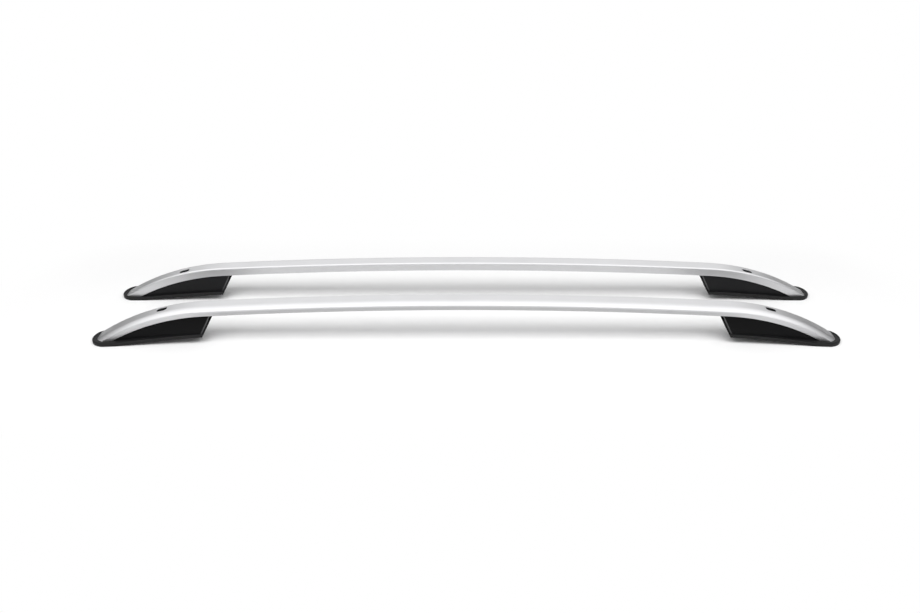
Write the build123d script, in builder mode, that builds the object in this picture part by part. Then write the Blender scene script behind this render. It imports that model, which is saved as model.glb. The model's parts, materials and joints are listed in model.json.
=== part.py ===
from build123d import *
import os
from math import acos, asin, cos, degrees, radians, sin, tan

# A pair of roof side rails in millimetres. X runs along the car with +X forward, Y across it, Z up
# from the surface that the rails stand on. The right rail is at -Y and turns its outer side to -Y.
# Both ends of a rail and both rails are alike, so each piece is drawn once, at the front of the
# right rail, and mirrored to its other places.

# Bar section: across from the inner wall, up from the underside
bar_width = 40.5
bar_height = 18.4
bar_wall = 2.0
top_flat_reach = 25.4
crease_height = 11.5
lower_wall_tuck = 2.5
inner_edge_radius = 4.0
bottom_edge_radius = 1.5

# Line of the bar's underside: a long arch, then one tighter bend at each end
arch_height = 75.5
arch_radius = 10000.0
arch_half_length = 540.0
bend_radius = 450.0
arch_lean = 5.4
inner_wall_offset = 78.15
tip_overrun = 3.0

# Base gasket: a pad that is flat under the nose and follows the roof's crown behind it
gasket_thickness = 6.8
heel_flat = 9.0
heel_blend_radius = 120.0
sole_tail = 35.5
sole_rise = 15.0
roof_crown_radius = 2000.0
nose_ledge = 11.5
outer_ledge = 13.0
inner_ledge = 8.0
outer_ledge_taper = 18.5
inner_ledge_taper = 1.5
outer_nose_radius = 30.0
inner_nose_radius = 28.0
gasket_edge_radius = 1.8
bead_inset = 2.4
bead_width = 2.2
bead_rise = 1.0
bead_setback = 70.8

# Foot: a hollow wedge between the bar and the gasket, with a lip standing out of its rear end.
# Setbacks and lengths here are measured back from the heel, where the bar's underside meets the gasket.
panel_inset = 1.5
foot_wall = 2.6
foot_front_edge = 1.4
foot_length = 180.3
foot_end_height = 14.0
foot_end_lean = 28.3
foot_edge_radius = 1.0
lip_reach = 4.0
lip_inset = 1.0
lip_drop = 9.0
rib_thickness = 2.0
bolt_rib_gap = 20.0
front_rib_gap = 22.0
rear_rib_gap = 16.0

# Roof bolt, with the opening above it that the bolt and its key go through
bolt_setback = 101.8
bolt_inset = 14.0
bolt_hole_diameter = 9.0
bolt_boss_diameter = 20.0
access_length = 22.5
access_width = 13.8
access_edge_radius = 0.6
insert_length = 58.0
insert_gap = 0.2
insert_floor = 4.5
well_clearance = 0.6
gasket_hole_clearance = 1.5

# Self-tapping screws that hold each foot to the bar
front_screw_setback = 38.8
rear_screw_inset = 21.5
screw_inset = 19.0
screw_diameter = 4.8
screw_hole_clearance = 0.1
screw_head_diameter = 9.0
screw_head_clearance = 0.5
seat_depth = 0.4
screw_head_flat = 6.0
screw_head_height = 3.2
screw_length = 14.0
screw_point = 4.0

# Shapes that only cut are drawn longer than what they cut by this much
spare = 40.0

# Vertical share of a normal or tangent that tells upright from level
mostly_upright = 0.7
hardly_upright = 0.3

# Arch plane, which leans in over the car. Heights on it are measured along the lean.
lean_cosine = cos(radians(arch_lean))
lean_slope = tan(radians(arch_lean))
arch_plane = Plane(
    origin=(0, -inner_wall_offset, 0),
    x_dir=(1, 0, 0),
    z_dir=(0, -lean_cosine, sin(radians(arch_lean))),
)
arch_slope = degrees(asin(arch_half_length / arch_radius))
bend_start_height = arch_height - arch_radius * (1 - cos(radians(arch_slope)))
bend_middle = arch_half_length - bend_radius * sin(radians(arch_slope))
bend_middle_height = bend_start_height - bend_radius * cos(radians(arch_slope))
arch_axis = Axis(arch_plane.from_local_coords((0, arch_height - arch_radius, 0)), -arch_plane.z_dir)
bend_axis = Axis(arch_plane.from_local_coords((bend_middle, bend_middle_height, 0)), -arch_plane.z_dir)

# Turn of the bend, from level, where the underside and the top come down to the gasket
tip_drop = gasket_thickness / lean_cosine - bend_middle_height
heel_turn = degrees(acos(tip_drop / bend_radius))
nose_turn = degrees(acos(tip_drop / (bend_radius + bar_height)))
bar_nose = bend_middle + (bend_radius + bar_height) * sin(radians(nose_turn))
bar_heel = bend_middle + bend_radius * sin(radians(heel_turn))
foot_front = bar_heel - foot_front_edge / tan(radians(heel_turn))
gasket_nose = bar_nose + nose_ledge
sole_flat_end = bar_heel - heel_flat
foot_end = bar_heel - foot_length
sole_end = foot_end - sole_tail
bead_end = bar_heel - bead_setback
bolt_place = bar_heel - bolt_setback
front_screw_place = bar_heel - front_screw_setback
rear_screw_place = foot_end + rear_screw_inset
screw_places = (rear_screw_place, front_screw_place)
rib_places = (
    rear_screw_place + rear_rib_gap,
    bolt_place - bolt_rib_gap,
    bolt_place + bolt_rib_gap,
    front_screw_place - front_rib_gap,
)
head_room = arch_height + bar_height + spare
rail_reach = inner_wall_offset + bar_width + outer_ledge + spare
outwards = (0, -1, 0)


def bend_turn(place):
    """Turn of the bend, from level, where its underside is at this distance along the car."""
    return degrees(asin((place - bend_middle) / bend_radius))


def bend_rise(point):
    """Height of a point above the bend's underside, square to it."""
    return (point - bend_axis.position).cross(bend_axis.direction).length - bend_radius


def turned(plane, axis, angle):
    """The plane swung about the axis."""
    arm = plane.origin - axis.position
    return Plane(
        origin=axis.position + arm.rotate(axis, angle),
        x_dir=plane.x_dir.rotate(axis, angle),
        z_dir=plane.z_dir.rotate(axis, angle),
    )


# Section planes: x is out across the bar, y is up, and the origin is the inner lower corner
middle_plane = Plane(
    origin=arch_plane.from_local_coords((0, arch_height, 0)), x_dir=(0, -1, 0), z_dir=(-1, 0, 0)
)
bend_plane = turned(middle_plane, arch_axis, arch_slope)
bar_spans = (
    (middle_plane, arch_axis, arch_slope),
    (bend_plane, bend_axis, nose_turn - arch_slope + tip_overrun),
)

# Places that the bolt and its opening share
bolt_underside = (bend_middle_height + bend_radius * cos(radians(bend_turn(bolt_place)))) * lean_cosine
bolt_line = -inner_wall_offset + lean_slope * bolt_underside - bolt_inset
bolt_level = Plane.XY.offset(bolt_underside + bar_height / 2)


def screw_plane(place):
    """Plane on the bar's underside with its z axis up along the screw."""
    across = turned(bend_plane, bend_axis, bend_turn(place) - arch_slope)
    return Plane(
        origin=across.from_local_coords((screw_inset, 0, 0)), x_dir=across.x_dir, z_dir=across.y_dir
    )


def screw_seat(place):
    """Flat that is spot-faced inside the foot for the screw's head."""
    return screw_plane(place).offset(seat_depth - foot_wall)


def bar_outline(plane, inset=0.0):
    """Section of the bar on the plane, drawn in by the inset."""
    with BuildSketch(plane) as outline:
        with BuildLine():
            Polyline(
                (bar_width, crease_height),
                (bar_width - lower_wall_tuck, 0),
                (0, 0),
                (0, bar_height),
                (top_flat_reach, bar_height),
            )
            TangentArc((top_flat_reach, bar_height), (bar_width, crease_height), tangent=(1, 0))
        make_face()
        fillet(outline.vertices().group_by(Axis.Y)[-1].sort_by(Axis.X)[0], inner_edge_radius)
        fillet(outline.vertices().group_by(Axis.Y)[0], bottom_edge_radius)
        if inset:
            offset(amount=-inset)
    return outline.sketch.faces()


def build_bar():
    """Hollow bar: the front half is bent and drilled, then mirrored and trimmed level at its tips."""
    with BuildPart() as bar:
        for plane, axis, angle in bar_spans:
            revolve(bar_outline(plane), axis=axis, revolution_arc=angle)
        for plane, axis, angle in bar_spans:
            revolve(bar_outline(plane, bar_wall), axis=axis, revolution_arc=angle, mode=Mode.SUBTRACT)
        with BuildSketch(bolt_level):
            with Locations((bolt_place, bolt_line)):
                SlotOverall(access_length, access_width)
        extrude(amount=bar_height, mode=Mode.SUBTRACT)
        rim_height = bar_height - bar_wall / 2
        rim = bar.edges(Select.LAST).filter_by(lambda edge: bend_rise(edge.center()) > rim_height)
        fillet(rim, access_edge_radius)
        with BuildSketch(bolt_level):
            with Locations((bolt_place, bolt_line)):
                Circle(bolt_hole_diameter / 2)
        extrude(amount=-bar_height, mode=Mode.SUBTRACT)
        for place in screw_places:
            with BuildSketch(screw_plane(place)):
                Circle(screw_diameter / 2 + screw_hole_clearance)
            extrude(amount=bar_height / 2, both=True, mode=Mode.SUBTRACT)
        mirror(about=Plane.YZ)
        split(bisect_by=Plane.XY.offset(gasket_thickness), keep=Keep.TOP)
    return bar.part


def build_insert():
    """Block inside the bar at the roof bolt, with a well for the bolt's head."""
    half_turn = degrees(insert_length / 2 / bend_radius)
    first_turn = bend_turn(bolt_place) - half_turn
    first_plane = turned(bend_plane, bend_axis, first_turn - arch_slope)
    with BuildPart() as insert:
        revolve(
            bar_outline(first_plane, bar_wall + insert_gap), axis=bend_axis, revolution_arc=2 * half_turn
        )
        with BuildSketch(Plane.XY.offset(bolt_underside + bar_wall + insert_floor)):
            with Locations((bolt_place, bolt_line)):
                SlotOverall(access_length + 2 * well_clearance, access_width + 2 * well_clearance)
        extrude(amount=bar_height, mode=Mode.SUBTRACT)
        with BuildSketch(bolt_level):
            with Locations((bolt_place, bolt_line)):
                Circle(bolt_hole_diameter / 2)
        extrude(amount=-bar_height, mode=Mode.SUBTRACT)
    return insert.part


def sole_region(lift):
    """Side view of all that is above the sole line, with the line lifted."""
    front = gasket_nose + spare
    with BuildSketch(Plane.XZ) as region:
        with BuildLine():
            Line((front, lift), (sole_flat_end, lift))
            RadiusArc((sole_flat_end, lift), (sole_end, sole_rise + lift), -roof_crown_radius)
            Polyline(
                (sole_end, sole_rise + lift), (sole_end, head_room), (front, head_room), (front, lift)
            )
        make_face()
        fillet(region.vertices().sort_by_distance((sole_flat_end, lift))[0], heel_blend_radius)
    return region.sketch.faces()


def above_underside(drop):
    """All the space above the bar's underside, with the underside lowered."""
    with BuildPart() as space:
        for plane, axis, angle in bar_spans:
            with BuildSketch(plane):
                with Locations((bar_width / 2, head_room / 2 - drop)):
                    Rectangle(bar_width + 2 * spare, head_room)
            revolve(axis=axis, revolution_arc=angle)
    return space.part


def foot_end_plane(forward):
    """Sloping rear end of the foot's panels, moved forward."""
    lean = radians(foot_end_lean)
    end = Plane(origin=(foot_end, 0, foot_end_height), x_dir=(0, 1, 0), z_dir=(cos(lean), 0, sin(lean)))
    return end.offset(forward)


def foot_block(side, top, end, lift):
    """Foot drawn in at its sides, top and rear end, standing on the lifted sole line."""
    space = above_underside(top)
    outer_side = (bar_width - lower_wall_tuck) * lean_cosine - panel_inset - side
    inner_side = panel_inset + side
    with BuildPart() as block:
        extrude(sole_region(lift), amount=rail_reach, dir=outwards)
        split(bisect_by=arch_plane.offset(outer_side), keep=Keep.BOTTOM)
        split(bisect_by=arch_plane.offset(inner_side), keep=Keep.TOP)
        split(bisect_by=foot_end_plane(end), keep=Keep.TOP)
        split(bisect_by=Plane.YZ.offset(foot_front - side), keep=Keep.BOTTOM)
        add(space, mode=Mode.SUBTRACT)
        if lift:
            rear_edges = block.faces().filter_by(GeomType.PLANE).sort_by(Axis.X)[0].edges()
            uprights = rear_edges.filter_by(lambda edge: abs(edge.tangent_at(0).Z) > mostly_upright)
            fillet(uprights, foot_edge_radius)
    return block.part


def build_foot():
    """Ribbed foot, open below, with its rear lip, the bolt boss and the two screw holes."""
    outside = foot_block(0, 0, 0, gasket_thickness)
    lip_outside = foot_block(lip_inset, lip_drop, -lip_reach, gasket_thickness)
    inside = foot_block(foot_wall, foot_wall, foot_wall, 0)
    lip_inside = foot_block(lip_inset + foot_wall, lip_drop + foot_wall, foot_wall - lip_reach, 0)
    with BuildPart() as hollow:
        add(inside)
        add(lip_inside)
        with Locations(*[(place, bolt_line, 0) for place in rib_places]):
            Box(rib_thickness, rail_reach, 2 * head_room, mode=Mode.SUBTRACT)
        with Locations((bolt_place, bolt_line, 0)):
            Cylinder(bolt_boss_diameter / 2, 2 * head_room, mode=Mode.SUBTRACT)
    with BuildPart() as foot:
        add(outside)
        add(lip_outside)
        add(hollow.part, mode=Mode.SUBTRACT)
        with Locations((bolt_place, bolt_line, 0)):
            Cylinder(bolt_hole_diameter / 2, 2 * head_room, mode=Mode.SUBTRACT)
        for place in screw_places:
            with BuildSketch(screw_plane(place)):
                Circle(screw_diameter / 2 + screw_hole_clearance)
            extrude(amount=foot_wall, both=True, mode=Mode.SUBTRACT)
            with BuildSketch(screw_seat(place)):
                Circle(screw_head_diameter / 2 + screw_head_clearance)
            extrude(amount=-screw_head_height, mode=Mode.SUBTRACT)
    return foot.part


def gasket_plan(inset):
    """Plan of the gasket, round at the nose and narrower behind, drawn in by the inset."""
    outer_line = -(inner_wall_offset + bar_width + outer_ledge)
    inner_line = -(inner_wall_offset - inner_ledge)
    with BuildSketch() as plan:
        with BuildLine():
            Polyline(
                (sole_end, outer_line + outer_ledge_taper),
                (gasket_nose, outer_line),
                (gasket_nose, inner_line),
                (sole_end, inner_line - inner_ledge_taper),
                close=True,
            )
        make_face()
        fillet(plan.vertices().sort_by(Axis.Y)[0], outer_nose_radius)
        fillet(plan.vertices().sort_by(Axis.Y)[-1], inner_nose_radius)
        if inset:
            offset(amount=-inset)
    return plan.sketch.faces()


def sole_layer(plan, low, high):
    """The plan given a thickness between two heights above the sole line."""
    with BuildPart() as layer:
        extrude(plan, amount=head_room)
        extrude(sole_region(low), amount=rail_reach, dir=outwards, mode=Mode.INTERSECT)
        extrude(sole_region(high), amount=rail_reach, dir=outwards, mode=Mode.SUBTRACT)
        split(bisect_by=foot_end_plane(-lip_reach), keep=Keep.TOP)
    return layer.part


def build_gasket():
    """Rubber pad under the foot and the bar's nose, with a raised bead on its ledge."""
    pad = sole_layer(gasket_plan(0), 0, gasket_thickness)
    bead_height = gasket_thickness + bead_rise
    bead_outside = sole_layer(gasket_plan(bead_inset), gasket_thickness, bead_height)
    bead_inside = sole_layer(gasket_plan(bead_inset + bead_width), gasket_thickness, bead_height)
    with BuildPart() as bead:
        add(bead_outside)
        add(bead_inside, mode=Mode.SUBTRACT)
        split(bisect_by=Plane.YZ.offset(bead_end), keep=Keep.TOP)
    with BuildPart() as gasket:
        add(pad)
        tops = gasket.faces().filter_by(lambda face: face.normal_at().Z > mostly_upright)
        walls = gasket.faces().filter_by(lambda face: abs(face.normal_at().Z) < hardly_upright)
        fillet([edge for edge in tops.edges() if edge in walls.edges()], gasket_edge_radius)
        add(bead.part)
        with Locations((bolt_place, bolt_line, 0)):
            Cylinder(bolt_hole_diameter / 2 + gasket_hole_clearance, 2 * head_room, mode=Mode.SUBTRACT)
    return gasket.part


def build_screw(place):
    """Pan-head self-tapping screw from inside the foot into the bar."""
    seat = screw_seat(place)
    with BuildPart() as screw:
        with BuildSketch(Plane(origin=seat.origin, x_dir=seat.x_dir, z_dir=-seat.y_dir)):
            with BuildLine():
                Polyline(
                    (0, -screw_head_height),
                    (screw_head_flat / 2, -screw_head_height),
                    (screw_head_diameter / 2, 0),
                    (screw_diameter / 2, 0),
                    (screw_diameter / 2, screw_length - screw_point),
                    (0, screw_length),
                    close=True,
                )
            make_face()
        revolve(axis=Axis(seat.origin, seat.z_dir))
    return screw.part


def write_piece(piece, name):
    """Write one finished piece under its node's name."""
    piece.label = name
    export_step(piece, f"parts/{name}.step")


os.makedirs("parts", exist_ok=True)

end_pieces = {"insert": build_insert(), "foot": build_foot(), "gasket": build_gasket()}
for number, place in enumerate(screw_places, start=1):
    end_pieces[f"foot_screw_{number}"] = build_screw(place)

right_bar = build_bar()
write_piece(right_bar, "right_bar")
write_piece(mirror(right_bar, about=Plane.XZ), "left_bar")
for name, piece in end_pieces.items():
    rear_piece = mirror(piece, about=Plane.YZ)
    write_piece(piece, f"right_front_{name}")
    write_piece(rear_piece, f"right_rear_{name}")
    write_piece(mirror(piece, about=Plane.XZ), f"left_front_{name}")
    write_piece(mirror(rear_piece, about=Plane.XZ), f"left_rear_{name}")
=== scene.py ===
import json
import math
from collections import namedtuple

import bmesh
import bpy
from mathutils import Matrix, Vector


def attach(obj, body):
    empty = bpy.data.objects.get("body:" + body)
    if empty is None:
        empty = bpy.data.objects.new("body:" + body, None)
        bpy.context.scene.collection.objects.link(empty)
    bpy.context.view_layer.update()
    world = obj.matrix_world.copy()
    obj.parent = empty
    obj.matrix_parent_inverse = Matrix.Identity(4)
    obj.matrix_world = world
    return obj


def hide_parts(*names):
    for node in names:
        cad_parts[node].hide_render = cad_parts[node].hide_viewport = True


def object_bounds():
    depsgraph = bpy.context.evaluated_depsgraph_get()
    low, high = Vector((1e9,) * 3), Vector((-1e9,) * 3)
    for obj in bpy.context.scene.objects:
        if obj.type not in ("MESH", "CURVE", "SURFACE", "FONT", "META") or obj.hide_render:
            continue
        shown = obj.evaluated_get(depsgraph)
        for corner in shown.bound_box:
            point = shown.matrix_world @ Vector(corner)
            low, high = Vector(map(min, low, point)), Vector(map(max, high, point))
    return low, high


bl_info = {
    "name": "Roof side rail pair",
    "version": (1, 0, 0),
    "blender": (4, 5, 0),
    "location": "View3D > Sidebar > Roof rails",
    "description": "Finishes for a pair of roof side rails, and a studio stage to show them on",
    "category": "Object",
}

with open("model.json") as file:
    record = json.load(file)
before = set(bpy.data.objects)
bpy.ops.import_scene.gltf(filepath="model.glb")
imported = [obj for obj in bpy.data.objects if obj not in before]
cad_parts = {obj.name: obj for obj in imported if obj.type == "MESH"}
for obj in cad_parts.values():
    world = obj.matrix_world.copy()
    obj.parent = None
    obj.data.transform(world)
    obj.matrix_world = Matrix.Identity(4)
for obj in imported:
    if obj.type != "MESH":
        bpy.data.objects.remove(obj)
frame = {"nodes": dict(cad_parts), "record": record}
cad_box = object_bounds()
cad_nodes = frame["nodes"]
slot_colours = {entry["slot"]: tuple(entry["base_color"]) for entry in frame["record"]["materials"]}
roof_bolts = next(mount for mount in frame["record"]["mounts"] if mount["name"] == "right_roof_bolts")
rails_half_length = cad_box[1].x
rails_half_width = cad_box[1].y

# Section of the bar, as its solid has it, in metres as every length here
bar_width = 0.0405
bar_height = 0.0184
bar_wall = 0.002
top_flat_end = 0.0254
crease_height = 0.0115
lower_wall_tuck = 0.0025
inner_edge = 0.004
bottom_edge = 0.0015
crease_edge = 0.0004

# Line of the bar's underside: a long leaning arch, then a tighter bend down past the level tip
arch_height = 0.0755
arch_radius = 10.0
arch_half_length = 0.540
arch_lean = math.radians(5.4)
bend_radius = 0.450
bend_sweep = math.radians(40.5)
inner_wall_offset = 0.07815
tip_level = 0.0068

# Holes in the bar: the roof bolt's, its access hole above and those of the foot screws
bolt_place = Vector((roof_bolts["dims"]["spacing_x_mm"] / 2000, roof_bolts["pos_m"][1]))
bolt_hole_radius = roof_bolts["dims"]["hole_r_mm"] / 1000
access_length = 0.0225
access_width = 0.0138
access_edge = 0.0006
screw_places = (0.5720, 0.6920)
screw_inset = 0.019
screw_hole_radius = 0.0025

# Axis and middles that the arch and the bend turn about, for the right bar's front half
lean_axis = Vector((0.0, math.cos(arch_lean), -math.sin(arch_lean)))
arch_up = Vector((0.0, math.sin(arch_lean), math.cos(arch_lean)))
arch_base = Vector((0.0, -inner_wall_offset, 0.0))
arch_slope = math.asin(arch_half_length / arch_radius)
bend_out = arch_half_length - bend_radius * math.sin(arch_slope)
bend_up = arch_height - arch_radius * (1 - math.cos(arch_slope)) - bend_radius * math.cos(arch_slope)
arch_middle = arch_base + arch_up * (arch_height - arch_radius)
bend_middle = arch_base + Vector((bend_out, 0.0, 0.0)) + arch_up * bend_up

# Steps of the bar's section in its mesh, and how its sharpest corners are rounded there
least_bottom_edge = 0.00005
corner_steps = 6
inner_edge_steps = 12
shoulder_steps = 24
wall_steps = 3
top_steps = 5
bottom_steps = 7
flat_end_share = 0.03
crease_gap_degrees = 1.2
crease_inwards = 3
crease_round = 0.1

# Steps along the bar, as turns about the arch's or the bend's middle, and round its holes
arch_steps = 54
bend_step = 0.0075
hole_step = 0.0028
hole_step_reach = 0.045
access_patch_reach = 0.038
bolt_patch_reach = 0.02
patch_ring_shares = (0.5, 0.85)
access_edge_steps = 4
drill_sides = 32

# How a point of the bar's face is searched for, and how the two halves are joined
first_out = 0.014
trial_turn = 0.001
face_search_rounds = 12
slot_halvings = 40
seam_reach = 0.0005
weld_distance = 0.00001
smooth_limit = math.radians(35)

# Grain of the mould, and marks of handling
fine_grain_scale = 2.3
fine_grain_height = 0.5
cloud_range = (0.32, 0.68)
speck_scale = 40.0
speck_range = (0.7, 0.8)
main_share = 0.6

# Finish of the bars: their brushed shine, their lines and clouds, and the painted shade that darkens the
# lower wall between the feet
bar_anisotropy = 0.65
anisotropy_turn = 0.25
line_stretch = 4.0
bar_cloud_size = 0.09
bar_tints = (0.95, 1.05)
line_roughness = 0.05
cloud_roughness = 0.04
painted_wall_shade_edge = 0.004
painted_wall_shade_end = 0.5720
painted_wall_shade_fade = 0.07

# Finish of the moulded pieces
moulded_cloud_size = 0.045
moulded_tints = (0.88, 1.12)
moulded_roughness_spread = 0.06
dust_tint = 4.0

# Painted light on a foot: the height over which painted shade darkens its outer panel towards the top, the
# painted light on its other faces, and the painted highlight along its sloping rear end
painted_shade_heights = (0.016, 0.058)
painted_top_shade_tint = 0.35
painted_inner_light_tint = 2.2
foot_end_lean = math.radians(28.3)
foot_end_distance = 0.49133
highlight_middle = 0.0007
highlight_spread = (0.0019, 0.0006)
highlight_heights = (0.0, 0.06)
highlight_shares = (0.25, 1.0)
least_panel_facing = 0.35

# Finish of the screws
zinc_cloud_size = 0.004
zinc_tints = (0.85, 1.1)
zinc_roughness = (0.24, 0.36)

# Lamps: the place of each, then its width and depth
key_place = (0.0, -1.0, 2.2)
key_size = (5.5, 1.5)
shine_place = (0.0, -0.8, 2.25)
shine_size = (8.0, 2.5)
fill_place = (0.0, 0.95, 2.2)
fill_size = (5.5, 2.0)

# Room that the bars mirror: heights and sides are parts of a unit direction, and level 1 is white
wall_heights = (0.0, 0.42)
wall_levels = (0.3, 1.1)
side_reach = (0.25, 0.65)
side_heights = (0.25, 0.7)
side_dimming = 0.88

# Floor and camera
shadow_fade = (0.04, 0.3)
plain_white = (1.0, 1.0, 1.0, 1.0)
sensor_width = 36.0


class RailFinishes(bpy.types.PropertyGroup):
    """Colours and textures of the rails' materials"""

    bar_colour: bpy.props.FloatVectorProperty(
        name="Bar colour",
        description="Colour of the anodised aluminium bars",
        subtype="COLOR",
        min=0.0,
        max=1.0,
        default=(0.69, 0.69, 0.70),
    )
    bar_roughness: bpy.props.FloatProperty(
        name="Bar roughness",
        description="Middle roughness of the satin anodised surface",
        subtype="FACTOR",
        min=0.0,
        max=1.0,
        default=0.41,
    )
    # Painted shade: how dark the outer wall under the bars' crease is painted between the feet, against the
    # rest of the bar
    painted_wall_shade: bpy.props.FloatProperty(
        name="Lower wall tone",
        description="Tone of the wall under the bars' crease against the rest of the bar",
        subtype="FACTOR",
        min=0.0,
        max=1.0,
        default=0.72,
    )
    line_pitch: bpy.props.FloatProperty(
        name="Extrusion line pitch",
        description="Spacing of the fine lines that the die leaves along the bars",
        unit="LENGTH",
        min=0.0001,
        default=0.0005,
    )
    line_depth: bpy.props.FloatProperty(
        name="Extrusion line depth",
        description="Depth of the fine lines along the bars",
        unit="LENGTH",
        min=0.0,
        default=0.00001,
    )
    plastic_colour: bpy.props.FloatVectorProperty(
        name="Foot colour",
        description="Colour of the feet's moulded plastic",
        subtype="COLOR",
        min=0.0,
        max=1.0,
        default=(0.007, 0.007, 0.0074),
    )
    # Painted highlight: colour painted along the feet's rear edge, standing in for the light that edge
    # catches
    painted_highlight_colour: bpy.props.FloatVectorProperty(
        name="Rubbed edge colour",
        description="Colour of the feet's plastic where their rear edge is rubbed",
        subtype="COLOR",
        min=0.0,
        max=1.0,
        default=(0.12, 0.12, 0.122),
    )
    rubber_colour: bpy.props.FloatVectorProperty(
        name="Gasket colour",
        description="Colour of the base gaskets' rubber",
        subtype="COLOR",
        min=0.0,
        max=1.0,
        default=(0.006, 0.006, 0.0064),
    )
    insert_colour: bpy.props.FloatVectorProperty(
        name="Insert colour",
        description="Colour of the tube inserts' plastic",
        subtype="COLOR",
        min=0.0,
        max=1.0,
        default=(0.03, 0.03, 0.031),
    )
    zinc_colour: bpy.props.FloatVectorProperty(
        name="Screw colour",
        description="Colour of the zinc plate on the foot screws",
        subtype="COLOR",
        min=0.0,
        max=1.0,
        default=slot_colours["zinc_plated_steel"],
    )
    grain_size: bpy.props.FloatProperty(
        name="Mould grain",
        description="Size of the grain that the mould leaves on the feet",
        unit="LENGTH",
        min=0.0001,
        default=0.0006,
    )
    grain_depth: bpy.props.FloatProperty(
        name="Mould grain depth",
        description="Depth of the grain on the feet",
        unit="LENGTH",
        min=0.0,
        default=0.00004,
    )


class RailStage(bpy.types.PropertyGroup):
    """Floor, light and camera"""

    camera_place: bpy.props.FloatVectorProperty(
        name="Camera",
        description="Place of the camera",
        subtype="TRANSLATION",
        unit="LENGTH",
        default=(-0.0131, -1.6995, 0.9667),
    )
    camera_tilt: bpy.props.FloatProperty(
        name="Camera tilt",
        description="Angle by which the camera looks down",
        subtype="ANGLE",
        default=math.radians(29.03),
    )
    lens: bpy.props.FloatProperty(
        name="Lens",
        description="Focal length for a sensor 36 mm wide",
        unit="CAMERA",
        default=35.0,
    )
    floor_colour: bpy.props.FloatVectorProperty(
        name="Floor colour",
        description="Colour of the floor around the rails",
        subtype="COLOR",
        min=0.0,
        max=1.0,
        default=(0.97, 0.97, 0.97),
    )
    floor_size: bpy.props.FloatProperty(
        name="Floor size",
        description="Side of the square floor",
        unit="LENGTH",
        default=5.0,
    )
    key_level: bpy.props.FloatProperty(
        name="Key light",
        description="Brightness of the soft box over the front that lights the floor, where 1 is white",
        min=0.0,
        default=2.7,
    )
    shine_level: bpy.props.FloatProperty(
        name="Shine light",
        description="Brightness that the front soft box adds to the room in reflections, where 1 is white",
        min=0.0,
        default=0.72,
    )
    fill_level: bpy.props.FloatProperty(
        name="Fill light",
        description="Brightness that the back soft box adds to the room in reflections, where 1 is white",
        min=0.0,
        default=0.1,
    )
    room_level: bpy.props.FloatProperty(
        name="Room light",
        description="Brightness of the room as a light on dull surfaces, where 1 is white",
        min=0.0,
        default=0.45,
    )


def add_node(tree, kind, values=None, **settings):
    """A node of that kind, with its settings and its input values, which may be other nodes' sockets."""
    made = tree.nodes.new(kind)
    for name, value in settings.items():
        setattr(made, name, value)
    for name, value in (values or {}).items():
        if isinstance(value, bpy.types.NodeSocket):
            tree.links.new(value, made.inputs[name])
        else:
            made.inputs[name].default_value = value
    return made


def maths(tree, operation, *terms):
    """The value of a Math node."""
    return add_node(tree, "ShaderNodeMath", dict(enumerate(terms)), operation=operation).outputs[0]


def distance(tree, run, rise):
    """Length of the straight line that goes that far one way and that far at right angles to it."""
    squares = maths(tree, "ADD", maths(tree, "POWER", run, 2.0), maths(tree, "POWER", rise, 2.0))
    return maths(tree, "SQRT", squares)


def past_half(tree, value, half):
    """How far the value is past half a size, to either side of the middle."""
    return maths(tree, "MAXIMUM", maths(tree, "SUBTRACT", maths(tree, "ABSOLUTE", value), half), 0.0)


def blended(tree, main, lesser):
    """The two values added up, the first with the larger share."""
    first = maths(tree, "MULTIPLY", main, main_share)
    return maths(tree, "ADD", first, maths(tree, "MULTIPLY", lesser, 1.0 - main_share))


def map_range(tree, value, given, wanted=(0.0, 1.0), smooth=False):
    """The value, taken from the given range to the wanted one and held at its ends."""
    ends = {"From Min": given[0], "From Max": given[1], "To Min": wanted[0], "To Max": wanted[1]}
    course = "SMOOTHSTEP" if smooth else "LINEAR"
    made = add_node(tree, "ShaderNodeMapRange", {"Value": value, **ends}, interpolation_type=course)
    return made.outputs["Result"]


def spot_parts(tree, kind="Object"):
    """X, Y and Z of a texture coordinate, which is the point's place in the rails' frame if not said."""
    where = add_node(tree, "ShaderNodeTexCoord").outputs[kind]
    return add_node(tree, "ShaderNodeSeparateXYZ", {"Vector": where}).outputs


def sideways_facing(tree):
    """How far the surface faces along Y, from -1 to 1."""
    facing = add_node(tree, "ShaderNodeNewGeometry").outputs["Normal"]
    return add_node(tree, "ShaderNodeSeparateXYZ", {"Vector": facing}).outputs["Y"]


def tinted(colour, factor):
    """The colour made lighter or darker by the factor, for a node's colour socket."""
    return tuple(min(1.0, part * factor) for part in colour) + (1.0,)


def mixed_colour(tree, factor, low, high):
    """A colour between low and high, either of which may be another node's socket."""
    made = add_node(tree, "ShaderNodeMix", {"Factor": factor, "A": low, "B": high}, data_type="RGBA")
    return next(socket for socket in made.outputs if socket.type == "RGBA")


def varied(tree, tone, colour, tints):
    """The colour, which the tone takes from the first of two tints to the second."""
    return mixed_colour(tree, tone, tinted(colour, tints[0]), tinted(colour, tints[1]))


def mixed_shader(tree, factor, first, second):
    """The first shader where the factor is 0, and the second where it is 1."""
    made = add_node(tree, "ShaderNodeMixShader", {"Fac": factor})
    tree.links.new(first, made.inputs[1])
    tree.links.new(second, made.inputs[2])
    return made.outputs["Shader"]


def bumped(tree, height, depth):
    """A normal bent by the height, of which 1 counts as the depth."""
    values = {"Height": height, "Distance": depth, "Strength": 1.0}
    return add_node(tree, "ShaderNodeBump", values).outputs["Normal"]


def bare_tree(owner):
    """The node tree of a material or a world, emptied."""
    owner.use_nodes = True
    owner.node_tree.nodes.clear()
    return owner.node_tree


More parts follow.
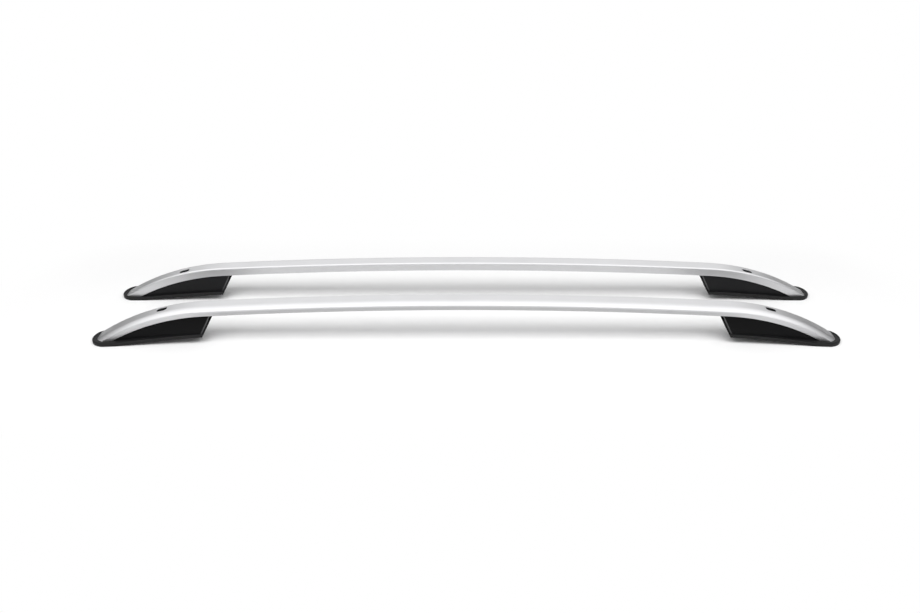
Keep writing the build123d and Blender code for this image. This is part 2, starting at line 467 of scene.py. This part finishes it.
def new_group(name, inputs, outputs):
    """A shader node group with those float inputs and outputs.
    It gives the tree, its input node and its output node."""
    tree = bpy.data.node_groups.new(name, "ShaderNodeTree")
    for socket, default in inputs.items():
        made = tree.interface.new_socket(socket, in_out="INPUT", socket_type="NodeSocketFloat")
        made.default_value = default
    for socket in outputs:
        tree.interface.new_socket(socket, in_out="OUTPUT", socket_type="NodeSocketFloat")
    return tree, tree.nodes.new("NodeGroupInput"), tree.nodes.new("NodeGroupOutput")


def mould_grain_group():
    """Grain of a moulded surface: rounded pips of one size over a finer roughness."""
    name = "Mould grain"
    if name in bpy.data.node_groups:
        return bpy.data.node_groups[name]
    tree, given, result = new_group(name, {"Size": 0.0006}, ["Height", "Tone"])
    where = add_node(tree, "ShaderNodeTexCoord").outputs["Object"]
    scale = maths(tree, "DIVIDE", 1.0, given.outputs["Size"])
    pips = add_node(tree, "ShaderNodeTexVoronoi", {"Vector": where, "Scale": scale}, feature="SMOOTH_F1")
    fine_scale = maths(tree, "MULTIPLY", scale, fine_grain_scale)
    fine = add_node(tree, "ShaderNodeTexNoise", {"Vector": where, "Scale": fine_scale, "Detail": 2.0})
    pip_height = maths(tree, "SUBTRACT", 1.0, pips.outputs["Distance"])
    fine_height = maths(tree, "MULTIPLY", fine.outputs["Fac"], fine_grain_height)
    tree.links.new(maths(tree, "ADD", pip_height, fine_height), result.inputs["Height"])
    tree.links.new(fine.outputs["Fac"], result.inputs["Tone"])
    return tree


def handling_group():
    """Faint cloudy marks of handling and dust, with small specks in them."""
    name = "Handling marks"
    if name in bpy.data.node_groups:
        return bpy.data.node_groups[name]
    tree, given, result = new_group(name, {"Size": 0.06}, ["Clouds", "Specks"])
    where = add_node(tree, "ShaderNodeTexCoord").outputs["Object"]
    scale = maths(tree, "DIVIDE", 1.0, given.outputs["Size"])
    cloud_values = {"Vector": where, "Scale": scale, "Detail": 5.0, "Roughness": 0.6}
    clouds = add_node(tree, "ShaderNodeTexNoise", cloud_values)
    fine_scale = maths(tree, "MULTIPLY", scale, speck_scale)
    specks = add_node(tree, "ShaderNodeTexNoise", {"Vector": where, "Scale": fine_scale, "Detail": 1.0})
    tree.links.new(map_range(tree, clouds.outputs["Fac"], cloud_range), result.inputs["Clouds"])
    tree.links.new(map_range(tree, specks.outputs["Fac"], speck_range), result.inputs["Specks"])
    return tree


def handling_marks(tree, size):
    """Clouds and specks of handling in a material, the clouds about that size."""
    return add_node(tree, "ShaderNodeGroup", {"Size": size}, node_tree=handling_group()).outputs


def new_material(name, **values):
    """A material with one Principled shader, its plain values set.
    It gives the material, its tree and the shader."""
    made = bpy.data.materials.new(name)
    tree = bare_tree(made)
    shader = tree.nodes.new("ShaderNodeBsdfPrincipled")
    out = tree.nodes.new("ShaderNodeOutputMaterial")
    tree.links.new(shader.outputs["BSDF"], out.inputs["Surface"])
    for socket, value in values.items():
        shader.inputs[socket.replace("_", " ")].default_value = value
    return made, tree, shader


def bar_place(tree):
    """Coordinates that follow the bar: along it, across it and up through its section."""
    spot = spot_parts(tree)
    along = maths(tree, "ABSOLUTE", spot["X"])
    arch_rise = maths(tree, "SUBTRACT", spot["Z"], arch_height - arch_radius)
    arch_level = maths(tree, "SUBTRACT", distance(tree, spot["X"], arch_rise), arch_radius)
    bend_run = maths(tree, "SUBTRACT", along, bend_out)
    bend_rise = maths(tree, "SUBTRACT", spot["Z"], bend_up)
    bend_level = maths(tree, "SUBTRACT", distance(tree, bend_run, bend_rise), bend_radius)
    past = maths(tree, "GREATER_THAN", along, arch_half_length)
    step = maths(tree, "MULTIPLY", past, maths(tree, "SUBTRACT", bend_level, arch_level))
    level = maths(tree, "ADD", arch_level, step)
    lean = maths(tree, "MULTIPLY", spot["Z"], math.tan(arch_lean))
    across = maths(tree, "ADD", maths(tree, "ABSOLUTE", spot["Y"]), lean)
    return spot["X"], across, level


def painted_wall_shade_mask(tree, along, across, level):
    """Mask of the painted shade on the outer wall under the bar's crease, between the feet."""
    wall_foot = inner_wall_offset + bar_width - lower_wall_tuck
    low = map_range(tree, level, (crease_height, crease_height - painted_wall_shade_edge))
    outer = map_range(tree, across, (wall_foot - painted_wall_shade_edge * 2, wall_foot - painted_wall_shade_edge))
    from_middle = maths(tree, "ABSOLUTE", along)
    between = map_range(tree, from_middle, (painted_wall_shade_end, painted_wall_shade_end - painted_wall_shade_fade))
    return maths(tree, "MULTIPLY", maths(tree, "MULTIPLY", low, outer), between)


def bar_material(finish):
    """Satin anodised aluminium with the die's fine lines along the bar, and painted shade on the outer wall
    under the crease between the feet.
    """
    made, tree, shader = new_material(
        "satin_anodised_bar", Metallic=1.0, Anisotropic=bar_anisotropy, Anisotropic_Rotation=anisotropy_turn
    )
    lengthwise = add_node(tree, "ShaderNodeCombineXYZ", {"X": 1.0}).outputs["Vector"]
    tree.links.new(lengthwise, shader.inputs["Tangent"])
    along, across, level = bar_place(tree)
    lines_per_metre = 1.0 / finish.line_pitch
    stretched = {
        "X": maths(tree, "MULTIPLY", along, line_stretch),
        "Y": maths(tree, "MULTIPLY", across, lines_per_metre),
        "Z": maths(tree, "MULTIPLY", level, lines_per_metre),
    }
    where = add_node(tree, "ShaderNodeCombineXYZ", stretched).outputs["Vector"]
    noise = add_node(tree, "ShaderNodeTexNoise", {"Vector": where, "Scale": 1.0, "Detail": 3.0})
    lines = noise.outputs["Fac"]
    cloud = handling_marks(tree, bar_cloud_size)["Clouds"]
    colour = varied(tree, blended(tree, lines, cloud), finish.bar_colour, bar_tints)
    # Painted shade: the outer wall under the crease is darkened between the feet
    wall_shade_colour = tinted(finish.bar_colour, finish.painted_wall_shade)
    colour = mixed_colour(tree, painted_wall_shade_mask(tree, along, across, level), colour, wall_shade_colour)
    tree.links.new(colour, shader.inputs["Base Color"])
    rough_range = (finish.bar_roughness - line_roughness, finish.bar_roughness + line_roughness)
    cloud_rough = maths(tree, "MULTIPLY", maths(tree, "SUBTRACT", cloud, 0.5), cloud_roughness)
    rough = maths(tree, "ADD", map_range(tree, lines, (0.0, 1.0), rough_range), cloud_rough)
    tree.links.new(rough, shader.inputs["Roughness"])
    tree.links.new(bumped(tree, lines, finish.line_depth), shader.inputs["Normal"])
    return made


def painted_panel_masks(tree):
    """Masks of painted light on a foot's faces: painted shade on those that face outwards, more towards the
    top, and painted light on the others.
    """
    spot = spot_parts(tree)
    outwards = maths(tree, "GREATER_THAN", maths(tree, "MULTIPLY", sideways_facing(tree), spot["Y"]), 0.0)
    high = map_range(tree, spot["Z"], painted_shade_heights)
    return maths(tree, "MULTIPLY", high, outwards), maths(tree, "SUBTRACT", 1.0, outwards)


def painted_highlight_mask(tree):
    """Mask of the painted highlight along the rear edge of a foot's panels, fading towards the sole."""
    spot = spot_parts(tree)
    run = maths(tree, "MULTIPLY", maths(tree, "ABSOLUTE", spot["X"]), math.cos(foot_end_lean))
    rise = maths(tree, "MULTIPLY", spot["Z"], math.sin(foot_end_lean))
    inside = maths(tree, "SUBTRACT", maths(tree, "ADD", run, rise), foot_end_distance)
    off_middle = maths(tree, "ABSOLUTE", maths(tree, "SUBTRACT", inside, highlight_middle))
    near = map_range(tree, off_middle, highlight_spread)
    facing = maths(tree, "ABSOLUTE", sideways_facing(tree))
    panel = maths(tree, "GREATER_THAN", facing, least_panel_facing)
    high = map_range(tree, spot["Z"], highlight_heights, highlight_shares)
    return maths(tree, "MULTIPLY", maths(tree, "MULTIPLY", near, panel), high)


def moulded_material(name, colour, grain_size, grain_depth, roughness, gloss, dust, painted_highlight_colour=None):
    """A dark moulded surface with its grain, and handling marks that lighten and dull it.
    A painted highlight colour makes it a foot's surface, with painted shade and painted light on its panels
    and a painted highlight along its rear edge."""
    made, tree, shader = new_material(name, Metallic=0.0, Specular_IOR_Level=gloss)
    grain = add_node(tree, "ShaderNodeGroup", {"Size": grain_size}, node_tree=mould_grain_group()).outputs
    marks = handling_marks(tree, moulded_cloud_size)
    dusty = maths(tree, "MULTIPLY", marks["Specks"], dust)
    tinge = varied(tree, marks["Clouds"], colour, moulded_tints)
    tinge = mixed_colour(tree, dusty, tinge, tinted(colour, dust_tint))
    if painted_highlight_colour is not None:
        # Painted shade darkens the outer panels towards the top, and painted light brightens the foot's
        # other faces
        shaded_top, inner = painted_panel_masks(tree)
        tinge = mixed_colour(tree, shaded_top, tinge, tinted(colour, painted_top_shade_tint))
        tinge = mixed_colour(tree, inner, tinge, tinted(colour, painted_inner_light_tint))
        # Painted highlight along the foot's rear edge, brighter towards the top
        tinge = mixed_colour(tree, painted_highlight_mask(tree), tinge, tinted(painted_highlight_colour, 1.0))
    tree.links.new(tinge, shader.inputs["Base Color"])
    tone = blended(tree, marks["Clouds"], grain["Tone"])
    rough_range = (roughness - moulded_roughness_spread, roughness + moulded_roughness_spread)
    tree.links.new(map_range(tree, tone, (0.0, 1.0), rough_range), shader.inputs["Roughness"])
    tree.links.new(bumped(tree, grain["Height"], grain_depth), shader.inputs["Normal"])
    return made


def zinc_material(finish):
    """Bright zinc plate, a little uneven."""
    made, tree, shader = new_material("bright_zinc", Metallic=1.0)
    cloud = handling_marks(tree, zinc_cloud_size)["Clouds"]
    tree.links.new(varied(tree, cloud, finish.zinc_colour, zinc_tints), shader.inputs["Base Color"])
    tree.links.new(map_range(tree, cloud, (0.0, 1.0), zinc_roughness), shader.inputs["Roughness"])
    return made


def add_object(name, data):
    """An object with that data, put in the scene."""
    made = bpy.data.objects.new(name, data)
    bpy.context.scene.collection.objects.link(made)
    return made


def on_bar(out, up, turn):
    """Point of the right bar's front half: out across the section, up through it, at a turn along it."""
    point = arch_base + arch_up * arch_height + Vector((0.0, -out, up))
    first = Matrix.Rotation(min(turn, arch_slope), 3, lean_axis)
    point = arch_middle + first @ (point - arch_middle)
    if turn > arch_slope:
        point = bend_middle + Matrix.Rotation(turn - arch_slope, 3, lean_axis) @ (point - bend_middle)
    return point


def arc_points(middle, radius, start, end, count):
    """Points on an arc of the section, angles in degrees."""
    points = []
    for step in range(count + 1):
        angle = math.radians(start + (end - start) * step / count)
        points.append((middle[0] + radius * math.cos(angle), middle[1] + radius * math.sin(angle)))
    return points


def line_points(start, end, count):
    """Points inside a straight run of the section, with one close to each of its ends."""
    shares = [flat_end_share] + [step / count for step in range(1, count)] + [1 - flat_end_share]
    return [(start[0] + (end[0] - start[0]) * t, start[1] + (end[1] - start[1]) * t) for t in shares]


def bar_section(inset):
    """Section of the bar drawn in by the inset, as a closed loop from the inner end of the bottom.
    It also gives the places in the loop where the top flat and the bottom flat begin and end."""
    rise = bar_height - crease_height
    reach = bar_width - top_flat_end
    shoulder = (reach**2 + rise**2) / (2 * rise)
    shoulder_middle = (top_flat_end, bar_height - shoulder)
    slant = Vector((lower_wall_tuck, crease_height)).normalized()
    inwards = Vector((-slant.y, slant.x))
    foot = Vector((bar_width - lower_wall_tuck, 0.0)) + inwards * inset
    foot += slant * (inset - foot.y) / slant.y
    back = Vector(shoulder_middle) - foot
    along = back.dot(slant)
    crease = foot + slant * (along + math.sqrt(along**2 - back.length_squared + (shoulder - inset) ** 2))
    crease_turn = math.degrees(math.atan2(crease.y - shoulder_middle[1], crease.x - shoulder_middle[0]))
    corner = max(bottom_edge - inset, least_bottom_edge)
    slant_turn = math.degrees(math.atan2(slant.y, slant.x))
    tangent = corner * math.tan(math.radians(slant_turn / 2))
    foot_arc = (foot.x - tangent, inset + corner)
    inner_arc = (inset + corner, inset + corner)
    top_arc = (inner_edge, bar_height - inner_edge)
    loop = arc_points(inner_arc, corner, 270, 180, corner_steps)
    loop += line_points(loop[-1], (inset, top_arc[1]), wall_steps)
    loop += arc_points(top_arc, inner_edge - inset, 180, 90, inner_edge_steps)
    top_start = len(loop) - 1
    loop += line_points(loop[-1], (top_flat_end, bar_height - inset), top_steps)
    top_end = len(loop)
    shoulder_end = crease_turn + crease_gap_degrees
    loop += arc_points(shoulder_middle, shoulder - inset, 90, shoulder_end, shoulder_steps)
    loop.append(tuple(crease + (inwards * crease_inwards - slant) * crease_edge * crease_round))
    lower_start = tuple(crease - slant * crease_edge)
    lower_end = tuple(foot + slant * tangent)
    loop.append(lower_start)
    loop += line_points(lower_start, lower_end, wall_steps)
    loop += arc_points(foot_arc, corner, slant_turn - 90, -90, corner_steps)
    bottom_start = len(loop) - 1
    loop += line_points(loop[-1], loop[0], bottom_steps)
    return loop, (top_start, top_end), (bottom_start, len(loop))


def bar_turns():
    """Turns along the front half of the bar, close together round the holes, and the turn at the holes."""
    turns = [arch_slope * step / arch_steps for step in range(arch_steps)]
    end_turn = arch_slope + bend_sweep
    hole_turn = math.asin((bolt_place.x - bend_out) / bend_radius)
    turn = arch_slope
    while turn < end_turn:
        turns.append(turn)
        near = abs(turn - hole_turn) < hole_step_reach
        turn += hole_step if near else bend_step
    turns.append(end_turn)
    return turns, hole_turn


def rows_near(turns, middle, reach):
    """Places of the first and the last turn within reach of the middle one."""
    near = [row for row, turn in enumerate(turns) if abs(turn - middle) < reach]
    return near[0], near[-1]


def slot_point(direction, grow):
    """Where a ray from the middle of the access hole leaves its outline, widened by grow."""
    radius = access_width / 2 + grow
    straight = (access_length - access_width) / 2
    low, high = 0.0, access_length
    for _ in range(slot_halvings):
        middle = (low + high) / 2
        spot = direction * middle
        beyond = max(abs(spot.x) - straight, 0.0)
        if math.hypot(beyond, spot.y) < radius:
            low = middle
        else:
            high = middle
    return direction * low


def bolt_point(direction, grow):
    """Where a ray from the middle of the bolt hole leaves it, widened by grow."""
    return direction * (bolt_hole_radius + grow)


def on_face(spot, up, turn):
    """The point of the bar's face at that height of the section which is right above or below the spot."""
    out = first_out
    for _ in range(face_search_rounds):
        point = on_bar(out, up, turn)
        turn += (spot.x - point.x) / (on_bar(out, up, turn + trial_turn).x - point.x) * trial_turn
        out += point.y - spot.y
    return on_bar(out, up, turn)


# Part of a skin's grid that makes room for a hole: its columns, its first and last row, the function of the
# hole's outline, the height of that face in the section, and the rounding of the hole's edge
Patch = namedtuple("Patch", "columns first last outline level edge")


def add_band(mesh, outer, inner):
    """Faces between two closed loops of as many vertices."""
    for place in range(len(outer)):
        following = (place + 1) % len(outer)
        mesh.faces.new((outer[place], outer[following], inner[following], inner[place]))


def fill_patch(mesh, grid, patch, hole_turn):
    """Faces from the border of a patch to the hole in it; gives the loop of vertices at the hole's rim."""
    border = [grid[row][patch.columns[0]] for row in range(patch.first, patch.last)]
    border += [grid[patch.last][column] for column in patch.columns[:-1]]
    border += [grid[row][patch.columns[-1]] for row in range(patch.last, patch.first, -1)]
    border += [grid[patch.first][column] for column in reversed(patch.columns[1:])]
    ways = [(vert.co.xy - bolt_place).normalized() for vert in border]
    rings = [border]
    for share in patch_ring_shares:
        ring = []
        for vert, way in zip(border, ways):
            spot = patch.outline(way, patch.edge) * share + (vert.co.xy - bolt_place) * (1 - share)
            ring.append(mesh.verts.new(on_face(bolt_place + spot, patch.level, hole_turn)))
        rings.append(ring)
    for step in range(access_edge_steps + 1 if patch.edge else 1):
        angle = math.radians(90 * step / access_edge_steps)
        grow = patch.edge * (1 - math.sin(angle))
        drop = Vector((0, 0, patch.edge * (1 - math.cos(angle))))
        spots = [bolt_place + patch.outline(way, grow) for way in ways]
        rings.append([mesh.verts.new(on_face(spot, patch.level, hole_turn) - drop) for spot in spots])
    for outer, inner in zip(rings, rings[1:]):
        add_band(mesh, outer, inner)
    return rings[-1]


def add_skin(mesh, inset, turns, hole_turn):
    """One skin of the bar's front half as a grid with the two holes of the roof bolt left in it.
    It gives the loops of vertices round the holes in the top and in the bottom."""
    loop, top, bottom = bar_section(inset)
    grid = [[mesh.verts.new(on_bar(out, up, turn)) for out, up in loop] for turn in turns]
    access_rows = rows_near(turns, hole_turn, access_patch_reach)
    bolt_rows = rows_near(turns, hole_turn, bolt_patch_reach)
    edge = access_edge if inset == 0.0 else 0.0
    patches = [
        Patch(range(top[0], top[1] + 1), *access_rows, slot_point, bar_height - inset, edge),
        Patch(range(bottom[0] + 1, bottom[1]), *bolt_rows, bolt_point, inset, 0.0),
    ]
    left_out = set()
    for patch in patches:
        for row in range(patch.first, patch.last):
            left_out.update((row, column) for column in patch.columns[:-1])
    for row, (here, there) in enumerate(zip(grid, grid[1:])):
        for column in range(len(loop)):
            if (row, column) not in left_out:
                following = (column + 1) % len(loop)
                mesh.faces.new((here[column], here[following], there[following], there[column]))
    return [fill_patch(mesh, grid, patch, hole_turn) for patch in patches]


def join_rims(mesh, outer, inner):
    """Wall of a hole between the rims in the two skins."""
    edged = sorted(outer, key=lambda vert: math.atan2(*(vert.co.xy - bolt_place)))
    lined = sorted(inner, key=lambda vert: math.atan2(*(vert.co.xy - bolt_place)))
    add_band(mesh, edged, lined)


def everything(mesh):
    """All vertices, edges and faces of the mesh."""
    return mesh.verts[:] + mesh.edges[:] + mesh.faces[:]


def add_front_half(mesh):
    """Front half of the right bar, open at the middle of the rail and cut level at its tip."""
    turns, hole_turn = bar_turns()
    outer_rims = add_skin(mesh, 0.0, turns, hole_turn)
    inner_rims = add_skin(mesh, bar_wall, turns, hole_turn)
    for outer, inner in zip(outer_rims, inner_rims):
        join_rims(mesh, outer, inner)
    down = (0, 0, -1)
    trim_place = (0, 0, tip_level)
    bmesh.ops.bisect_plane(mesh, geom=everything(mesh), plane_co=trim_place, plane_no=down, clear_outer=True)
    rim = [edge for edge in mesh.edges if edge.is_boundary]
    tip = [edge for edge in rim if all(vert.co.x > arch_half_length for vert in edge.verts)]
    bmesh.ops.triangle_fill(mesh, edges=tip, use_beauty=True, normal=down)


def drill_screw_holes(bar, side):
    """Drills the bar's underside square to it for the foot screws."""
    drill = bmesh.new()
    for place in screw_places:
        turn = math.asin((place - bend_out) / bend_radius)
        low = on_bar(screw_inset, -bar_height / 2, turn)
        high = on_bar(screw_inset, bar_height / 2, turn)
        for way in (1, -1):
            ends = [Vector((point.x * way, point.y * -side, point.z)) for point in (low, high)]
            stand = (ends[1] - ends[0]).to_track_quat("Z", "Y").to_matrix().to_4x4()
            bmesh.ops.create_cone(
                drill,
                cap_ends=True,
                segments=drill_sides,
                radius1=screw_hole_radius,
                radius2=screw_hole_radius,
                depth=bar_height,
                matrix=Matrix.Translation((ends[0] + ends[1]) / 2) @ stand,
            )
    bits = bpy.data.meshes.new("screw_drills")
    drill.to_mesh(bits)
    drill.free()
    cutter = add_object("screw_drills", bits)
    cut = bar.modifiers.new("screw_holes", "BOOLEAN")
    cut.operation = "DIFFERENCE"
    cut.object = cutter
    drilled = bpy.data.meshes.new_from_object(bar.evaluated_get(bpy.context.evaluated_depsgraph_get()))
    bar.modifiers.clear()
    bar.data = drilled
    bpy.data.objects.remove(cutter)


def build_bar(name, side, material):
    """A hollow bar as a fine mesh, mirrored from its front half and drilled for the foot screws."""
    mesh = bmesh.new()
    add_front_half(mesh)
    copied = bmesh.ops.duplicate(mesh, geom=everything(mesh))["geom"]
    for vert in (item for item in copied if isinstance(item, bmesh.types.BMVert)):
        vert.co.x = -vert.co.x
    seam = [vert for vert in mesh.verts if abs(vert.co.x) < seam_reach]
    bmesh.ops.remove_doubles(mesh, verts=seam, dist=weld_distance)
    for vert in mesh.verts:
        vert.co.y *= -side
    bmesh.ops.recalc_face_normals(mesh, faces=mesh.faces[:])
    for face in mesh.faces:
        face.smooth = True
    for edge in mesh.edges:
        edge.smooth = edge.calc_face_angle(0.0) < smooth_limit
    made = bpy.data.meshes.new(name)
    mesh.to_mesh(made)
    mesh.free()
    made.materials.append(material)
    bar = add_object(name, made)
    drill_screw_holes(bar, side)
    return bar


def dress(kind, material):
    """Gives every CAD node whose name ends that way the material."""
    found = [node for name, node in cad_nodes.items() if name.endswith(kind)]
    if not found:
        raise RuntimeError(f"the frame has no piece named {kind}")
    for node in found:
        node.material_slots[0].material = material


class RAILS_OT_bars(bpy.types.Operator):
    """Builds the two bars finely enough for their long highlights, with their satin anodised finish"""

    bl_idname = "roof_rails.bars"
    bl_label = "Build the bars"

    def execute(self, context):
        material = bar_material(context.scene.rail_finishes)
        for name, side in (("right", -1), ("left", 1)):
            bar = build_bar(f"{name}_satin_bar", side, material)
            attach(bar, "root")
            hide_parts(f"{name}_bar")
        return {"FINISHED"}


class RAILS_OT_feet(bpy.types.Operator):
    """Gives the four feet their grained black plastic, with painted shade and light on their panels and a
    painted highlight along their rear edge
    """

    bl_idname = "roof_rails.feet"
    bl_label = "Finish the feet"

    def execute(self, context):
        finish = context.scene.rail_finishes
        plastic = moulded_material(
            "grained_foot",
            finish.plastic_colour,
            finish.grain_size,
            finish.grain_depth,
            roughness=0.58,
            gloss=0.09,
            dust=0.1,
            painted_highlight_colour=finish.painted_highlight_colour,
        )
        dress("_foot", plastic)
        return {"FINISHED"}


class RAILS_OT_gaskets(bpy.types.Operator):
    """Gives the four base gaskets their dull black rubber"""

    bl_idname = "roof_rails.gaskets"
    bl_label = "Finish the gaskets"

    def execute(self, context):
        rubber = moulded_material(
            "dull_rubber",
            context.scene.rail_finishes.rubber_colour,
            grain_size=0.0004,
            grain_depth=0.00002,
            roughness=0.55,
            gloss=0.29,
            dust=0.15,
        )
        dress("_gasket", rubber)
        return {"FINISHED"}


class RAILS_OT_inserts(bpy.types.Operator):
    """Gives the four tube inserts their black plastic"""

    bl_idname = "roof_rails.inserts"
    bl_label = "Finish the inserts"

    def execute(self, context):
        plastic = moulded_material(
            "plain_insert",
            context.scene.rail_finishes.insert_colour,
            grain_size=0.0009,
            grain_depth=0.00003,
            roughness=0.55,
            gloss=0.3,
            dust=0.2,
        )
        dress("_insert", plastic)
        return {"FINISHED"}


class RAILS_OT_screws(bpy.types.Operator):
    """Gives the eight foot screws their zinc plate"""

    bl_idname = "roof_rails.screws"
    bl_label = "Finish the screws"

    def execute(self, context):
        zinc = zinc_material(context.scene.rail_finishes)
        for number in ("1", "2"):
            dress(f"_foot_screw_{number}", zinc)
        return {"FINISHED"}


def floor_material(stage):
    """White floor that keeps the rails' shadow near them and is plain white to the camera further away."""
    made = bpy.data.materials.new("white_floor")
    tree = bare_tree(made)
    out = tree.nodes.new("ShaderNodeOutputMaterial")
    paint = add_node(tree, "ShaderNodeBsdfDiffuse", {"Color": tinted(stage.floor_colour, 1.0)})
    white = add_node(tree, "ShaderNodeEmission", {"Color": plain_white, "Strength": 1.0})
    spot = spot_parts(tree)
    beside = past_half(tree, spot["X"], rails_half_length)
    beyond = past_half(tree, spot["Y"], rails_half_width)
    far = map_range(tree, distance(tree, beside, beyond), shadow_fade, smooth=True)
    ray = tree.nodes.new("ShaderNodeLightPath").outputs["Is Camera Ray"]
    whitened = maths(tree, "MULTIPLY", far, ray)
    surface = mixed_shader(tree, whitened, paint.outputs["BSDF"], white.outputs["Emission"])
    tree.links.new(surface, out.inputs["Surface"])
    return made


def build_floor(stage):
    """The square floor that the rails stand on."""
    half = stage.floor_size / 2
    corners = [(-half, -half, 0), (half, -half, 0), (half, half, 0), (-half, half, 0)]
    sheet = bpy.data.meshes.new("floor")
    sheet.from_pydata(corners, [], [(0, 1, 2, 3)])
    sheet.materials.append(floor_material(stage))
    return add_object("floor", sheet)


def soft_box(name, place, size, level):
    """A rectangular lamp over the rails that looks at the middle between them."""
    width, depth = size
    lamp = bpy.data.lights.new(name, "AREA")
    lamp.shape = "RECTANGLE"
    lamp.size = width
    lamp.size_y = depth
    lamp.energy = level * math.pi * width * depth
    made = add_object(name, lamp)
    made.location = place
    made.rotation_euler = (-Vector(place)).to_track_quat("-Z", "Y").to_euler()
    return made


def hang_lamps(stage):
    """A key lamp that only dull surfaces show, and two soft boxes that only reflections show."""
    key = soft_box("key_box", key_place, key_size, stage.key_level)
    key.visible_glossy = False
    shine = soft_box("shine_box", shine_place, shine_size, stage.shine_level)
    shine.visible_diffuse = False
    fill = soft_box("fill_box", fill_place, fill_size, stage.fill_level)
    fill.visible_diffuse = False


def studio_world(stage):
    """Pale room: white to the camera, dim as a light, darker in reflections low down and at the sides."""
    world = bpy.data.worlds.new("studio")
    tree = bare_tree(world)
    out = tree.nodes.new("ShaderNodeOutputWorld")
    ray = tree.nodes.new("ShaderNodeLightPath").outputs
    way = spot_parts(tree, "Generated")
    wall = map_range(tree, way["Z"], wall_heights, wall_levels, smooth=True)
    aside = map_range(tree, maths(tree, "ABSOLUTE", way["X"]), side_reach, (0.0, side_dimming), smooth=True)
    low = map_range(tree, way["Z"], side_heights, (1.0, 0.0), smooth=True)
    dimmed = maths(tree, "SUBTRACT", 1.0, maths(tree, "MULTIPLY", aside, low))
    shine = maths(tree, "MAXIMUM", maths(tree, "MULTIPLY", wall, dimmed), ray["Is Camera Ray"])
    seen = add_node(tree, "ShaderNodeBackground", {"Color": shine, "Strength": 1.0})
    room = add_node(tree, "ShaderNodeBackground", {"Color": plain_white, "Strength": stage.room_level})
    looked = maths(tree, "MAXIMUM", ray["Is Camera Ray"], ray["Is Glossy Ray"])
    looked = maths(tree, "MAXIMUM", looked, ray["Is Transmission Ray"])
    surface = mixed_shader(tree, looked, room.outputs["Background"], seen.outputs["Background"])
    tree.links.new(surface, out.inputs["Surface"])
    return world


def place_camera(stage):
    """The camera, which looks along +Y and down by its tilt."""
    view = bpy.data.cameras.new("camera")
    view.sensor_fit = "HORIZONTAL"
    view.sensor_width = sensor_width
    view.lens = stage.lens
    camera = add_object("camera", view)
    camera.location = stage.camera_place
    camera.rotation_euler = (math.pi / 2 - stage.camera_tilt, 0.0, 0.0)
    return camera


class RAILS_OT_stage(bpy.types.Operator):
    """Sets up the floor, the light and the camera"""

    bl_idname = "roof_rails.stage"
    bl_label = "Set the stage"

    def execute(self, context):
        scene = context.scene
        stage = scene.rail_stage
        floor = build_floor(stage)
        hang_lamps(stage)
        scene.world = studio_world(stage)
        scene.camera = place_camera(stage)
        scene.view_settings.view_transform = "Standard"
        return {"FINISHED"}


class RAILS_PT_panel(bpy.types.Panel):
    """Lists the steps that finish the rails and set the stage"""

    bl_idname = "RAILS_PT_panel"
    bl_label = "Roof rails"
    bl_space_type = "VIEW_3D"
    bl_region_type = "UI"
    bl_category = "Roof rails"

    def draw(self, context):
        for settings in (context.scene.rail_finishes, context.scene.rail_stage):
            box = self.layout.box()
            for name in settings.__annotations__:
                box.prop(settings, name)
        for step in steps:
            self.layout.operator(step.bl_idname)


steps = (RAILS_OT_bars, RAILS_OT_feet, RAILS_OT_gaskets, RAILS_OT_inserts, RAILS_OT_screws, RAILS_OT_stage)
classes = (RailFinishes, RailStage) + steps + (RAILS_PT_panel,)


def register():
    for cls in classes:
        bpy.utils.register_class(cls)
    bpy.types.Scene.rail_finishes = bpy.props.PointerProperty(type=RailFinishes)
    bpy.types.Scene.rail_stage = bpy.props.PointerProperty(type=RailStage)


def unregister():
    del bpy.types.Scene.rail_stage
    del bpy.types.Scene.rail_finishes
    for cls in reversed(classes):
        bpy.utils.unregister_class(cls)


def main():
    register()
    bpy.ops.roof_rails.bars()
    bpy.ops.roof_rails.feet()
    bpy.ops.roof_rails.gaskets()
    bpy.ops.roof_rails.inserts()
    bpy.ops.roof_rails.screws()
    bpy.ops.roof_rails.stage()
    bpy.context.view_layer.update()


if __name__ == "__main__":
    main()
